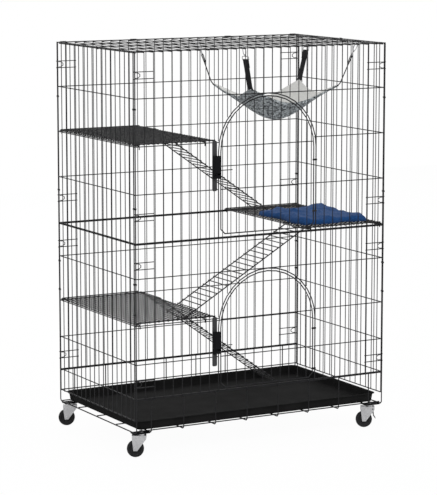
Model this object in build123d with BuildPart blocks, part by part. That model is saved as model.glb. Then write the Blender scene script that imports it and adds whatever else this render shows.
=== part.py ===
# Multi-level wire cat cage on casters: welded wire panels clipped together, two arched
# doors, three mesh shelves joined by three ramps, a slide-out tray and a hanging bed.
# Millimetres. Origin on the floor under the middle of the cage, +X right, +Y back, +Z up.
import math
import os

from build123d import *

os.makedirs("parts", exist_ok=True)

# Wires, measured across the flats
wire = 2.5
bar = 3.0
frame = 3.5
mesh_wire = 2.0
mesh_sides = 4
wire_sides = 6
bar_sides = 8
round_sides = 12
wheel_sides = 24
arch_flats = 16

# Clearances
butt_gap = 0.1
seat_gap = 0.3
running_gap = 0.05
panel_gap = 0.3

# Cage body
bay = 33.0
front_bays = 28
side_bays = 17
caster_height = 81.0
upper_height = 605.0
lower_height = 609.0
upper_bar_drops = (148.0, 298.0, 449.0)
lower_bar_drops = (111.0, 261.0, 386.0)
rim_height = 110.0
side_bottom_height = 39.0

cage_width = bay * front_bays
cage_depth = bay * side_bays
half_width = cage_width / 2
half_depth = cage_depth / 2
base_z = caster_height
joint_z = base_z + lower_height
top_z = joint_z + upper_height
upper_bars = [top_z - drop for drop in upper_bar_drops]
lower_bars = [joint_z - drop for drop in lower_bar_drops]
rim_z = base_z + rim_height
side_bottom_z = base_z + side_bottom_height
side_end = half_depth - frame - panel_gap - frame / 2

# Clips and corner hooks
post_clip_drops_upper = (180.5, 492.5)
post_clip_drops_lower = (127.0, 224.0)
clip_wall = 1.2
post_clip_height = 5.0
roof_clip_bays = (0.6, 8.5, 19.5, 27.4)
roof_clip_length = 20.0
side_clip_y = -9.0
side_clip_length = 10.0
corner_drop_upper = 64.0
corner_bar_drop = 61.0
corner_drop_lower = 59.0
corner_rise_lower = 61.0
corner_wire_step = 22.0
corner_overhang = 5.0
corner_bays = 2
corner_loop_wire = 2.0
corner_loop_reach = 16.0
corner_loop_bend = 5.0

# Hanging bed
hang_x_left = 429.0
hang_x_right = 858.0
hang_front_y = 68.0
hang_back_y = 376.0
bed_left = 467.0
bed_right = 808.0
bed_front = 94.0
bed_back = 350.0
bed_drop = 138.0
bed_sag = 120.0
bed_edge_sag = 62.0
bed_end_sag = 58.0
bed_thick = 8.0
bed_stations = (0.0, 0.12, 0.25, 0.38, 0.5, 0.62, 0.75, 0.88, 1.0)
bed_flats = 10
hook_length = 45.0
hook_width = 13.0
hook_wire = 2.5
hook_loop_length = 30.0
hook_neck_radius = 3.0
hook_corner = 3.8
eye_width = 24.0
eye_length = 14.0
strap_width = 18.0
strap_thick = 1.6
strap_seam = 0.6

# Blanket on the middle shelf
blanket_length = 268.0
blanket_wall_gap = 9.0
blanket_front = 30.0
blanket_back = 360.0
blanket_height = 27.0
blanket_wave = 5.0
blanket_stations = 7
blanket_ridges = 4
blanket_round = 5.0
blanket_end_droop = 8.0

# Doors
door_first_bay = 9
door_last_bay = 20
door_gap = 8.5
door_corner = 15.0
upper_door_sill = 13.0
lower_door_sill = 11.0
upper_door_bars = (312.0, 449.0)
lower_door_bars = (265.0, 386.0)
hinge_rise_upper = 65.0
hinge_rise_lower = 39.0
hinge_bar_drop = 60.0
hinge_wall = 1.6
hinge_height = 5.0

door_left = bay * door_first_bay - half_width
door_right = bay * door_last_bay - half_width
door_middle = (door_left + door_right) / 2
arch_radius = (door_right - door_left) / 2
door_radius = arch_radius - door_gap

# Latches
latch_width = 17.0
latch_plate_length = 160.0
latch_plate_thick = 1.5
latch_from_leg = 13.5
latch_top_rise = 5.0
latch_plate_corner = 3.0
block_width = 25.0
block_length = 72.0
block_depth = 16.0
block_drop = 47.0
block_round = 2.0
block_slope = 3.0
bolt_radius = 3.0
bolt_slide_gap = 0.3
bolt_reach = 14.0
bolt_below_keeper = 11.0
keeper_length = 43.0
keeper_drop = 94.0
thumb_radius = 2.5
thumb_length = 15.0

# Shelves
shelf_length = 284.0
shelf_wall_gap = 6.0
shelf_edge_inset = 10.5
shelf_long_gaps = 17
shelf_cross_gaps = 32
hook_drop = 12.0
hook_bend = 1.5
hook_tail = 20.0
hook_stand_off = 0.2

# Ramps
ramp_width = 125.0
ramp_hook_clearance = 0.6
rung = 2.5
rung_pitch = 22.0
rung_start = 10.0
ramp_hook_flats = 5
back_ramp_y = 202.0
low_ramp_y = 189.0
front_ramp_y = -204.5
upper_ramp_reach = 434.0
middle_ramp_reach = 446.0
lower_ramp_reach = 474.0

# Tray
tray_end_gap = 10.0
tray_side_gap = 9.5
tray_lift_gap = 1.75
tray_wall = 2.0
tray_lip = 6.0
tray_slope = 5.0
tray_corner = 18.0

# Base
cross_wires = 8
cross_inset = 52.5
base_bend = 6.0
runner_inset = 14.5

# Casters
caster_x_inset = 30.0
caster_y_inset = 24.5
plate_thick = 3.0
plate_width = 34.0
nut_across = 13.0
nut_height = 5.0
stem_radius = 4.0
stem_above_nut = 1.0
collar_radius = 11.0
collar_height = 6.0
fork_thick = 2.2
fork_length = 46.0
fork_gap = 22.0
wheel_diameter = 55.0
wheel_width = 20.0
wheel_trail = 19.0
axle_radius = 3.0
wheel_shoulder = 1.0
wheel_round = 2.5
hub_radius = 8.0
trail_angle = 151.0
plate_corner = 3.0
stem_gap = 0.2
rivet_height = 2.0
rivet_rim = 3.0
fork_nose = 16.0
fork_skirt = 11.0
fork_below_axle = 6.0
axle_boss = 6.0
axle_head = 2.0
axle_rim = 2.0
axle_sides = 8
brake_thick = 2.0
brake_pin_radius = 2.0
brake_pin_back = 10.0
brake_pin_drop = 6.0
brake_knee = 3.0
brake_knee_rise = 14.0
brake_toe = 19.0
brake_toe_rise = 4.0


def straight_wires(plane, spots, across, length, turned=False, sides=None):
    """Wires of one size that all start on one plane. Thick ones have eight flats, so that
    they lie flat on what is beside and below them. Thin ones have six, which turned moves
    from the plane's y direction to its x direction, and mesh has four."""
    sides = sides or (bar_sides if across >= bar else wire_sides)
    turn = 180 / sides if turned or sides != wire_sides else 0
    with BuildPart() as wires:
        with BuildSketch(plane):
            with Locations(*spots):
                RegularPolygon(across / 2, sides, major_radius=False, rotation=turn)
        extrude(amount=length)
    return wires.part


def uprights(spots, across, bottom, top, turned=False):
    return straight_wires(Plane.XY.offset(bottom), spots, across, top - bottom, turned)


def bars_along_x(spots, across, start, end, turned=False, sides=None):
    """Wires along X through (y, z) spots."""
    return straight_wires(Plane.YZ.offset(start), spots, across, end - start, turned, sides)


def bars_along_y(spots, across, start, end, sides=None):
    """Wires along Y through (x, z) spots."""
    across_spots = [(z, x) for x, z in spots]
    return straight_wires(Plane.ZX.offset(start), across_spots, across, end - start, True, sides)


def bent_wire(path_plane, points, section_plane, spot, across, rotation=0, sides=wire_sides):
    """One wire bent at each of its points, with its section at the first of them."""
    with BuildPart() as bent:
        with BuildLine(path_plane):
            Polyline(*points)
        with BuildSketch(section_plane):
            with Locations(spot):
                RegularPolygon(across / 2, sides, major_radius=False, rotation=rotation)
        sweep(transition=Transition.RIGHT)
    return bent.part


def arc_points(centre, radius, start, end, flats):
    """Points on an arc from one angle to another, in degrees."""
    angles = [math.radians(start + (end - start) * n / flats) for n in range(flats + 1)]
    return [(centre[0] + radius * math.cos(a), centre[1] + radius * math.sin(a)) for a in angles]


def save(label, *pieces):
    """One node: its welded pieces stay separate solids that touch."""
    node = Compound(label=label, children=list(pieces))
    export_step(node, f"parts/{label}.step")
    return node


def bay_x(number):
    return bay * number - half_width


def bay_y(number):
    return bay * number - half_depth


# Front and back panels: uprights outside, bars inside, welded on the planes y = -+half_depth
def face_panel(side, bottom, top, bar_levels, openings=()):
    """side is -1 for the front and +1 for the back."""
    weld = side * half_depth
    upright_y = weld + side * wire / 2
    post_y = weld + side * frame / 2
    bar_y = weld - side * bar / 2
    edge_y = weld - side * frame / 2
    skipped = range(door_first_bay, door_last_bay + 1) if openings else ()
    spots = [(bay_x(n), upright_y) for n in range(1, front_bays) if n not in skipped]
    posts = [(-half_width, post_y), (half_width, post_y)]
    pieces = [
        uprights(spots, wire, bottom, top),
        uprights(posts, frame, bottom, top),
        bars_along_x(
            [(edge_y, bottom + frame / 2), (edge_y, top - frame / 2)],
            frame,
            -half_width - frame / 2,
            half_width + frame / 2,
        ),
    ]
    for level in bar_levels:
        breaks = [reach for low, high, reach in openings if low < level < high]
        if breaks:
            half_opening = breaks[0](level)
            left_end = door_middle - half_opening + frame / 2
            right_start = door_middle + half_opening - frame / 2
            pieces.append(bars_along_x([(bar_y, level)], bar, -half_width - frame / 2, left_end))
            pieces.append(bars_along_x([(bar_y, level)], bar, right_start, half_width + frame / 2))
        else:
            pieces.append(
                bars_along_x([(bar_y, level)], bar, -half_width - frame / 2, half_width + frame / 2)
            )
    return pieces


def uprights_over_arch(spring_z, top):
    """The panel's uprights that stop on the doorway's arch."""
    outer = arch_radius + frame / math.sqrt(3)
    pieces = []
    for n in range(door_first_bay, door_last_bay + 1):
        side_x = max(abs(bay_x(n) - door_middle) - wire / math.sqrt(3), 0)
        if side_x < outer:
            end = spring_z + math.sqrt(outer**2 - side_x**2) + butt_gap
        spot = (bay_x(n), -half_depth - wire / 2)
        pieces.append(uprights([spot], wire, end, top))
    return pieces


def arched_opening(spring_z):
    """Half the opening's width at a height, on the doorway wire's centre line."""

    def half_opening(z):
        rise = max(z - spring_z, 0)
        return math.sqrt(arch_radius**2 - rise**2)

    return half_opening


upper_spring = upper_bars[0] - arch_radius
lower_spring = lower_bars[0] - arch_radius

upper_opening = (joint_z, upper_bars[0] - 1, arched_opening(upper_spring))
lower_opening = (rim_z, lower_bars[0] - 1, arched_opening(lower_spring))

upper_panel_bottom = joint_z
lower_panel_top = joint_z

save(
    "front_upper_panel",
    *face_panel(-1, upper_panel_bottom, top_z, upper_bars, [upper_opening]),
    *uprights_over_arch(upper_spring, top_z),
)
save(
    "front_lower_panel",
    *face_panel(-1, rim_z, lower_panel_top, lower_bars, [lower_opening]),
    *uprights_over_arch(lower_spring, lower_panel_top),
)
save("back_upper_panel", *face_panel(1, upper_panel_bottom, top_z, upper_bars))
save("back_lower_panel", *face_panel(1, rim_z, lower_panel_top, lower_bars))


# Side panels: uprights outside the planes x = -+half_width, bars inside them
def side_panel(side, bottom, top, bar_levels):
    """side is -1 for the left and +1 for the right."""
    weld = side * half_width
    upright_x = weld + side * wire / 2
    post_x = weld + side * frame / 2
    bar_x = weld - side * bar / 2
    edge_x = weld - side * frame / 2
    ends = side_end + frame / 2
    return [
        uprights([(upright_x, bay_y(n)) for n in range(1, side_bays)], wire, bottom, top, True),
        uprights([(post_x, -side_end), (post_x, side_end)], frame, bottom, top, True),
        bars_along_y(
            [(edge_x, bottom + frame / 2), (edge_x, top - frame / 2)], frame, -ends, ends
        ),
        bars_along_y([(bar_x, level) for level in bar_levels], bar, -ends, ends),
    ]


side_lower_bars = lower_bars + [rim_z + frame / 2]
save("left_upper_panel", *side_panel(-1, upper_panel_bottom, top_z, upper_bars))
save("left_lower_panel", *side_panel(-1, side_bottom_z, lower_panel_top, side_lower_bars))
save("right_upper_panel", *side_panel(1, upper_panel_bottom, top_z, upper_bars))
save("right_lower_panel", *side_panel(1, side_bottom_z, lower_panel_top, side_lower_bars))

# Roof panel: it drops in between the four top wires
roof_edge_y = half_depth - frame - frame / 2
roof_end_x = half_width - frame
roof_weld_z = top_z - frame
roof_side_x = roof_end_x - frame / 2 - panel_gap
roof_middle_ys = (-cage_depth / 4, 0.0, cage_depth / 4)
save(
    "roof_panel",
    bars_along_x(
        [(-roof_edge_y, top_z - frame / 2), (roof_edge_y, top_z - frame / 2)],
        frame,
        -roof_end_x,
        roof_end_x,
    ),
    bars_along_x(
        [(y, roof_weld_z + bar / 2) for y in roof_middle_ys], bar, -roof_end_x, roof_end_x
    ),
    bars_along_y(
        [(bay_x(n), roof_weld_z - wire / 2) for n in range(1, front_bays)],
        wire,
        -half_depth + frame,
        half_depth - frame,
    ),
    bars_along_y(
        [(-roof_side_x, roof_weld_z - frame / 2), (roof_side_x, roof_weld_z - frame / 2)],
        frame,
        -half_depth + frame,
        half_depth - frame,
    ),
)


# Clips: flat loops closed around two wires that lie side by side
def clip(plane_at, first, second, wire_across, length):
    """plane_at gives the plane of the loop's first face; the points are in that plane."""
    inner = wire_across / 2 / math.cos(math.pi / bar_sides) + butt_gap
    middle = ((first[0] + second[0]) / 2, (first[1] + second[1]) / 2)
    apart = math.dist(first, second)
    turn = math.degrees(math.atan2(second[1] - first[1], second[0] - first[0]))
    with BuildPart() as loop:
        with BuildSketch(plane_at):
            with Locations(Location(middle, turn)):
                Polygon(*band_outline(apart, inner + clip_wall), align=None)
                Polygon(*band_outline(apart, inner), align=None, mode=Mode.SUBTRACT)
        extrude(amount=length)
    return loop.part


def band_outline(apart, radius):
    """A flat band's six-sided outline around two wires that are so far apart."""
    point = apart / 2 + radius / math.cos(math.radians(30))
    shoulder = apart / 2 + radius * math.tan(math.radians(30))
    return [
        (point, 0),
        (shoulder, radius),
        (-shoulder, radius),
        (-point, 0),
        (-shoulder, -radius),
        (shoulder, -radius),
    ]


def post_clips():
    levels = [top_z - drop for drop in post_clip_drops_upper]
    levels += [joint_z - drop for drop in post_clip_drops_lower]
    loops = []
    for sx in (-1, 1):
        for sy in (-1, 1):
            face_post = (sx * half_width, sy * (half_depth + frame / 2))
            side_post = (sx * (half_width + frame / 2), sy * side_end)
            for level in levels:
                plane = Plane.XY.offset(level - post_clip_height / 2)
                loops.append(clip(plane, face_post, side_post, frame, post_clip_height))
    return loops


def roof_clips():
    loops = []
    wire_z = top_z - frame / 2
    for sy in (-1, 1):
        panel_wire = (sy * (half_depth - frame / 2), wire_z)
        roof_wire = (sy * roof_edge_y, wire_z)
        for number in roof_clip_bays:
            start = bay_x(number) - roof_clip_length / 2
            plane = Plane.YZ.offset(start)
            loops.append(clip(plane, panel_wire, roof_wire, frame, roof_clip_length))
    for sx in (-1, 1):
        panel_wire = (wire_z, sx * (half_width - frame / 2))
        roof_wire = (roof_weld_z - frame / 2, sx * roof_side_x)
        plane = Plane.ZX.offset(side_clip_y - side_clip_length / 2)
        loops.append(clip(plane, panel_wire, roof_wire, frame, side_clip_length))
    return loops


save("post_clips", *post_clips())
save("roof_clips", *roof_clips())


# Corner hooks: pairs of short wires at each post of the front and back, with a bent loop
def corner_hooks():
    levels = [top_z - corner_drop_upper, upper_bars[-1] - corner_bar_drop]
    levels += [joint_z - corner_drop_lower, rim_z + corner_rise_lower]
    pieces = []
    outer = half_width + corner_overhang
    inner = half_width - bay * corner_bays - wire / 2
    loop_top = -wire / math.sqrt(3) - corner_loop_wire / math.sqrt(3) - butt_gap
    loop_bottom = -corner_wire_step - loop_top
    for sy in (-1, 1):
        y = sy * (half_depth - wire / 2)
        spots = [(y, level - step) for level in levels for step in (0, corner_wire_step)]
        pieces.append(bars_along_x(spots, wire, -outer, -inner, sides=mesh_sides))
        pieces.append(bars_along_x(spots, wire, inner, outer, sides=mesh_sides))
        for sx in (-1, 1):
            for level in levels:
                start = half_width - frame
                outline = [
                    (start, loop_top),
                    (start - corner_loop_reach / 2, loop_top),
                    (start - corner_loop_reach, loop_top - corner_loop_bend),
                    (start - corner_loop_reach, loop_bottom + corner_loop_bend),
                    (start - corner_loop_reach / 2, loop_bottom),
                    (start, loop_bottom),
                ]
                loop = bent_wire(
                    Plane.XZ.offset(-y),
                    [(sx * x, level + z) for x, z in outline],
                    Plane.YZ.offset(sx * start),
                    (y, level + loop_top),
                    corner_loop_wire,
                    rotation=45,
                    sides=mesh_sides,
                )
                pieces.append(loop)
    return pieces


save("corner_hooks", *corner_hooks())


# Doorways: one wire bent over the opening, in line with the uprights
def doorway(label, bottom, spring_z):
    centre_y = -half_depth - frame / 2
    arch = arc_points((door_middle, spring_z), arch_radius, 180, 0, arch_flats)
    path = [(door_left, bottom), *arch, (door_right, bottom)]
    section = Plane.XY.offset(bottom)
    wire_loop = bent_wire(Plane.XZ.offset(-centre_y), path, section, (door_left, centre_y), frame)
    return save(label, wire_loop)


doorway("upper_doorway", joint_z, upper_spring)
doorway("lower_doorway", rim_z, lower_spring)


# Doors: two bent wires butted into a frame, uprights in line with it and two bars behind
def door(label, bottom, spring_z, bar_levels, keeper_z):
    centre_y = -half_depth - frame / 2
    left = door_middle - door_radius
    right = door_middle + door_radius
    lower_path = [
        (left, spring_z),
        (left, bottom + door_corner),
        (left + door_corner, bottom),
        (right - door_corner, bottom),
        (right, bottom + door_corner),
        (right, spring_z),
    ]
    upper_path = arc_points((door_middle, spring_z), door_radius, 180, 0, arch_flats)
    path_plane = Plane.XZ.offset(-centre_y)
    section = Plane.XY.offset(spring_z)
    pieces = [
        bent_wire(path_plane, lower_path, section, (left, centre_y), frame),
        bent_wire(path_plane, upper_path, section, (left, centre_y), frame),
    ]
    inner = door_radius * math.cos(math.pi / arch_flats / 2) - frame / math.sqrt(3)
    for n in range(door_first_bay + 1, door_last_bay):
        side_x = abs(bay_x(n) - door_middle) + wire / math.sqrt(3)
        end = spring_z + math.sqrt(inner**2 - side_x**2) - butt_gap
        start = bottom + frame / math.sqrt(3) + butt_gap
        pieces.append(uprights([(bay_x(n), -half_depth - wire / 2)], wire, start, end))
    for level in bar_levels:
        rise = max(level - spring_z, 0)
        half_bar = math.sqrt(door_radius**2 - rise**2)
        pieces.append(
            bars_along_x(
                [(-half_depth + bar / 2, level)], bar, door_middle - half_bar, door_middle + half_bar
            )
        )
    keeper_y = -half_depth - frame - wire / 2
    keeper_start = left - wire
    pieces.append(
        bars_along_x([(keeper_y, keeper_z)], wire, keeper_start, keeper_start + keeper_length, True)
    )
    return save(label, *pieces)


upper_latch_bar = upper_bars[1]
lower_latch_bar = lower_bars[1]
door(
    "upper_door",
    joint_z + upper_door_sill,
    upper_spring,
    [top_z - drop for drop in upper_door_bars],
    upper_latch_bar - keeper_drop + latch_top_rise,
)
door(
    "lower_door",
    rim_z + lower_door_sill,
    lower_spring,
    [joint_z - drop for drop in lower_door_bars],
    lower_latch_bar - keeper_drop + latch_top_rise,
)


# Hinge rings: flat bands closed around the door's stile and the doorway's leg, their
# round end on the leg's centre line, on which the door turns
def hinge_rings(label, levels):
    middle = (door_right - door_gap / 2, -half_depth - frame / 2)
    inside = frame / math.sqrt(3) + seat_gap
    with BuildPart() as rings:
        for level in levels:
            with BuildSketch(Plane.XY.offset(level - hinge_height / 2)):
                with Locations(middle):
                    SlotCenterToCenter(door_gap, 2 * (inside + hinge_wall))
                    SlotCenterToCenter(door_gap, 2 * inside, mode=Mode.SUBTRACT)
            extrude(amount=hinge_height)
    return save(label, *rings.part.solids())


upper_ring_top = top_z - upper_door_bars[0] - hinge_bar_drop
lower_ring_top = joint_z - lower_door_bars[0] - hinge_bar_drop
hinge_rings("upper_hinge_rings", [joint_z + hinge_rise_upper, upper_ring_top])
hinge_rings("lower_hinge_rings", [rim_z + hinge_rise_lower, lower_ring_top])


# Latches: a plate on two bars, a block on the plate and a bolt that slides in the block
def latch(prefix, bar_z):
    top = bar_z + latch_top_rise
    plate_x = door_left - latch_from_leg
    with BuildPart() as plate:
        with BuildSketch(Plane.XZ.offset(half_depth)) as outline:
            with Locations((plate_x, top - latch_plate_length / 2)):
                Rectangle(latch_width, latch_plate_length)
            chamfer(outline.vertices(), latch_plate_corner)
        extrude(amount=latch_plate_thick)
    save(f"{prefix}_latch_plate", plate.part)

    block_left = plate_x - latch_width / 2
    block_top = top - block_drop
    bolt_z = top - keeper_drop - bolt_below_keeper
    bolt_y = -half_depth - frame - bolt_radius - 0.5
    bore = bolt_radius + bolt_slide_gap
    block_back = -half_depth - latch_plate_thick
    block_front = block_back - block_depth
    block_right = block_left + block_width
    step_x = plate_x + latch_width / 2
    step_y = -half_depth - frame - seat_gap
    with BuildPart() as block:
        with BuildSketch(Plane.XY.offset(block_top - block_length)):
            with BuildLine():
                Polyline(
                    (block_left, block_back),
                    (step_x, block_back),
                    (step_x, step_y),
                    (block_right, step_y),
                    (block_right, block_front + block_round),
                    (block_right - block_round, block_front),
                    (block_left + block_round, block_front),
                    (block_left, block_front + block_round),
                    close=True,
                )
            make_face()
        extrude(amount=block_length)
        front_ends = block.edges().filter_by(Axis.X).group_by(Axis.Y)[0]
        chamfer(front_ends, block_slope, block_slope * 2)
        with BuildSketch(Plane.YZ.offset(block_left)):
            with Locations((bolt_y, bolt_z)):
                RegularPolygon(bore, round_sides, major_radius=False)
        extrude(amount=block_width, mode=Mode.SUBTRACT)
        slot_length = bolt_reach + 2 * thumb_radius + 2 * bolt_slide_gap
        with BuildSketch(Plane.XZ.offset(-bolt_y)):
            with Locations((block_left + block_width / 2, bolt_z)):
                Rectangle(slot_length, 2 * (thumb_radius + bolt_slide_gap))
        extrude(amount=bolt_y - block_front, mode=Mode.SUBTRACT)
    save(f"{prefix}_latch_block", block.part)

    bolt_start = block_left + 0.5
    bolt_end = block_left + block_width - 0.5
    thumb_x = block_left + block_width / 2 - bolt_reach / 2
    with BuildPart() as bolt:
        with BuildSketch(Plane.YZ.offset(bolt_start)):
            with Locations((bolt_y, bolt_z)):
                RegularPolygon(bolt_radius, round_sides)
        extrude(amount=bolt_end - bolt_start)
        chamfer(bolt.edges().group_by(Axis.X)[-1], 0.8)
        with BuildSketch(Plane.XZ.offset(-bolt_y)):
            with Locations((thumb_x, bolt_z)):
                RegularPolygon(thumb_radius, round_sides)
        extrude(amount=thumb_length)
    save(f"{prefix}_bolt", bolt.part)


latch("upper", upper_latch_bar)
latch("lower", lower_latch_bar)


# Shelves: a welded mesh that lies on the front and back bars
def shelf(label, left, right, rest_z, hook_xs):
    """rest_z is the top of the bars that carry it."""
    weld_z = rest_z + frame
    reach = half_depth - 1.0
    edge_y = half_depth - shelf_edge_inset
    long_step = (right - left) / shelf_long_gaps
    cross_step = 2 * edge_y / shelf_cross_gaps
    long_spots = [(left + long_step * n, weld_z - mesh_wire / 2) for n in range(1, shelf_long_gaps)]
    cross_spots = [
        (cross_step * n - edge_y, weld_z + mesh_wire / 2) for n in range(1, shelf_cross_gaps)
    ]
    pieces = [
        bars_along_y(
            [(left, weld_z - frame / 2), (right, weld_z - frame / 2)], frame, -reach, reach
        ),
        bars_along_y(long_spots, mesh_wire, -edge_y, edge_y, sides=mesh_sides),
        bars_along_x(
            [(-edge_y, weld_z + frame / 2), (edge_y, weld_z + frame / 2)],
            frame,
            left - frame / 2,
            right + frame / 2,
        ),
        bars_along_x(
            cross_spots, mesh_wire, left - frame / 2, right + frame / 2, sides=mesh_sides
        ),
    ]
    for x in hook_xs:
        for side in (-1, 1):
            outside = side * (half_depth + frame / 2 + hook_stand_off)
            inside = side * (half_depth - hook_tail)
            centre_z = weld_z - frame / 2
            path = [
                (inside, centre_z),
                (outside - side * hook_bend, centre_z),
                (outside, centre_z - hook_bend),
                (outside, centre_z - hook_drop),
            ]
            section = Plane.XZ.offset(-inside)
            hook = bent_wire(Plane.YZ.offset(x), path, section, (x, centre_z), frame)
            pieces.append(hook)
    return save(label, *pieces)


shelf_outer = half_width - shelf_wall_gap
shelf_inner = shelf_outer - shelf_length
shelf_step = shelf_length / shelf_long_gaps
wall_hook = shelf_outer - shelf_step / 2
edge_hook = shelf_inner + shelf_step / 2
plate_side_hook = shelf_inner + shelf_step * 2.5
upper_rest = upper_bars[1] + bar / 2
middle_rest = joint_z + frame
lower_rest = lower_bars[1] + bar / 2
shelf("upper_shelf", -shelf_outer, -shelf_inner, upper_rest, (-wall_hook, -plate_side_hook))
shelf("middle_shelf", shelf_inner, shelf_outer, middle_rest, (edge_hook, wall_hook))
shelf("lower_shelf", -shelf_outer, -shelf_inner, lower_rest, (-wall_hook, -plate_side_hook))


# Ramps: two rails hooked over a shelf's edge wire, with rungs on top
def ramp(label, edge_x, edge_z, reach, foot_z, middle_y, direction):
    """direction is +1 for a ramp that runs down to the right."""
    hook_radius = frame / math.sqrt(3) + ramp_hook_clearance + frame / 2
    angle = math.atan2(edge_z - foot_z, reach)
    along = (direction * math.cos(angle), -math.sin(angle))
    above = (direction * math.sin(angle), math.cos(angle))
    drop = edge_z + (hook_radius - frame / 2) * above[1] - foot_z - seat_gap
    length = drop / math.sin(angle)
    start = (edge_x + hook_radius * above[0], edge_z + hook_radius * above[1])
    end = (start[0] + length * along[0], start[1] + length * along[1])
    lean = math.degrees(angle)
    turns = (180, 90 - lean) if direction > 0 else (0, 90 + lean)
    path = [*arc_points((edge_x, edge_z), hook_radius, *turns, ramp_hook_flats), end]
    section = Plane.XY.offset(edge_z)
    rail_ys = (middle_y - ramp_width / 2 + frame / 2, middle_y + ramp_width / 2 - frame / 2)
    pieces = [
        bent_wire(Plane.XZ.offset(-y), path, section, (path[0][0], y), frame, rotation=30)
        for y in rail_ys
    ]
    count = int((length - rung_start - rung) // rung_pitch) + 1
    lift = frame / 2 + rung / 2
    slope = Plane(
        origin=(start[0] + above[0] * lift, middle_y - ramp_width / 2, start[1] + above[1] * lift),
        x_dir=(along[0], 0, along[1]),
        z_dir=(0, 1, 0),
    )
    spots = [(rung_start + rung_pitch * n, 0) for n in range(count)]
    pieces.append(straight_wires(slope, spots, rung, ramp_width, sides=mesh_sides))
    return save(label, *pieces)


mesh_top = frame + mesh_wire
upper_edge_z = upper_rest + frame / 2
middle_edge_z = middle_rest + frame / 2
lower_edge_z = lower_rest + frame / 2
runner_top = base_z + 2 * frame
tray_floor_z = runner_top + tray_wall
ramp("upper_ramp", -shelf_inner, upper_edge_z, upper_ramp_reach, middle_rest + mesh_top, back_ramp_y, 1)
ramp("middle_ramp", shelf_inner, middle_edge_z, middle_ramp_reach, lower_rest + mesh_top, front_ramp_y, -1)
ramp("lower_ramp", -shelf_inner, lower_edge_z, lower_ramp_reach, tray_floor_z, low_ramp_y, 1)

# Hanging bed: four snap hooks on two roof wires, four straps and a sagging cloth
hang_z = roof_weld_z - wire / 2
bed_z = top_z - bed_drop
bed_corners = []
for hang_x, bed_x in ((hang_x_left, bed_left), (hang_x_right, bed_right)):
    for hang_y, bed_y in ((hang_front_y, bed_front), (hang_back_y, bed_back)):
        hang = Vector(hang_x - half_width, hang_y - half_depth, hang_z)
        corner = Vector(bed_x - half_width, bed_y - half_depth, bed_z)
        bed_corners.append((hang, corner))

snap_hooks = []
straps = []
for hang, corner in bed_corners:
    down = (corner - hang).normalized()
    flat = (Vector(0, 1, 0) - down * down.Y).normalized()
    loop_plane = Plane(origin=hang, x_dir=down, z_dir=flat)
    inside_top = -wire / math.sqrt(3) - seat_gap
    loop_middle = inside_top - hook_wire + hook_loop_length / 2
    loop_end = loop_middle + hook_loop_length / 2
    eye_start = hook_length - eye_length
    with BuildPart() as hook:
        with BuildSketch(loop_plane.offset(-hook_wire / 2)) as loop:
            with Locations((loop_middle, 0)):
                Rectangle(hook_loop_length, hook_width)
                chamfer(loop.vertices(), hook_corner)
                with BuildSketch(mode=Mode.PRIVATE) as eye:
                    Rectangle(hook_loop_length - 2 * hook_wire, hook_width - 2 * hook_wire)
                    chamfer(eye.vertices(), hook_corner - hook_wire / 2)
                add(eye.sketch, mode=Mode.SUBTRACT)
        extrude(amount=hook_wire)
        with BuildSketch(Plane(origin=hang + down * (loop_end - 1), z_dir=down)):
            RegularPolygon(hook_neck_radius, wire_sides)
        extrude(amount=eye_start - loop_end + 2)
        with BuildSketch(loop_plane.offset(-hook_wire / 2)):
            with Locations((eye_start + eye_length / 2, 0)):
                Rectangle(eye_length, eye_width)
                Rectangle(
                    eye_length - 2 * hook_wire, eye_width - 2 * hook_wire, mode=Mode.SUBTRACT
                )
        extrude(amount=hook_wire)
    snap_hooks.append(hook.part)

    bar_middle = hook_length - hook_wire / 2
    turn_inner = hook_wire * 0.75 + seat_gap
    strap_end = (corner - hang).length - strap_seam
    strap_plane = Plane(origin=hang, x_dir=down, z_dir=flat.cross(down))
    with BuildPart() as strap:
        with BuildSketch(strap_plane.offset(-strap_width / 2)):
            with Locations((bar_middle, 0)):
                RegularPolygon(turn_inner + strap_thick, 8, major_radius=False, rotation=22.5)
            with Locations(((bar_middle + turn_inner + strap_end) / 2 + strap_thick / 2, 0)):
                Rectangle(strap_end - bar_middle - turn_inner - strap_thick / 2, strap_thick)
            with Locations((bar_middle, 0)):
                RegularPolygon(
                    turn_inner, 8, major_radius=False, rotation=22.5, mode=Mode.SUBTRACT
                )
        extrude(amount=strap_width)
    straps.append(strap.part)
save("snap_hooks", *snap_hooks)
save("bed_straps", *straps)

front_y = bed_front - half_depth
back_y = bed_back - half_depth
middle_y = (front_y + back_y) / 2
with BuildPart() as bed:
    for station in bed_stations:
        bulge = 4 * station * (1 - station)
        edge_z = bed_z - bed_edge_sag * bulge
        low_z = bed_z - bed_end_sag - (bed_sag - bed_end_sag) * bulge
        x = bed_left - half_width + (bed_right - bed_left) * station
        crossing = []
        for n in range(bed_flats + 1):
            share = n / bed_flats
            hollow = (edge_z - low_z) * 4 * share * (1 - share)
            crossing.append((front_y + (back_y - front_y) * share, edge_z - hollow))
        under = [(y, z - bed_thick) for y, z in reversed(crossing)]
        with BuildSketch(Plane.YZ.offset(x)):
            Polygon(*crossing, *under, align=None)
    loft(ruled=True)
save("hanging_bed", bed.part)

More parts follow.
